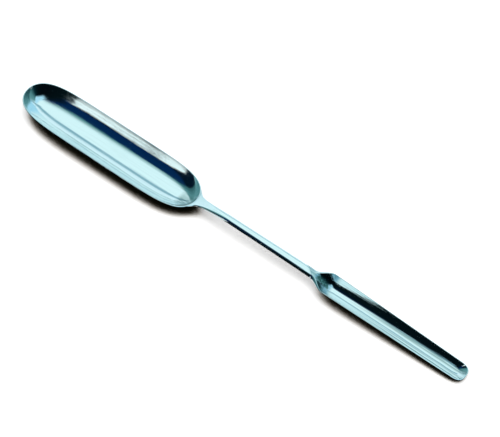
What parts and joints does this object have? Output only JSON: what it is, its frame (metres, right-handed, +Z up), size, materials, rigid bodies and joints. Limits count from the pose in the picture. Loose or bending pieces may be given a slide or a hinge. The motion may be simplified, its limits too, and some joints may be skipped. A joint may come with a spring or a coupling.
{
  "type": "marrow scoop",
  "caption": "Slender double-ended silver scoop: a broad oblong bowl and a narrow open channel joined by a plain slender stem, for lifting marrow out of bones.",
  "frame": {"origin": "centre of the bounding box in plan, on the surface that the scoop lies on", "axes": "+X along the length from the broad tip to the narrow tip, +Y across, +Z up out of both hollows"},
  "size_m": [0.225, 0.021, 0.0077],
  "materials": {
    "polished_silver": "hand-polished sterling silver with fine lengthwise scratches",
    "silver_solder": "polished silver solder, a little greyer than the silver"
  },
  "bodies": {
    "root": {"broad_scoop": "polished_silver", "broad_solder": "silver_solder", "stem": "polished_silver", "narrow_solder": "silver_solder", "narrow_scoop": "polished_silver"}
  },
  "joints": []
}
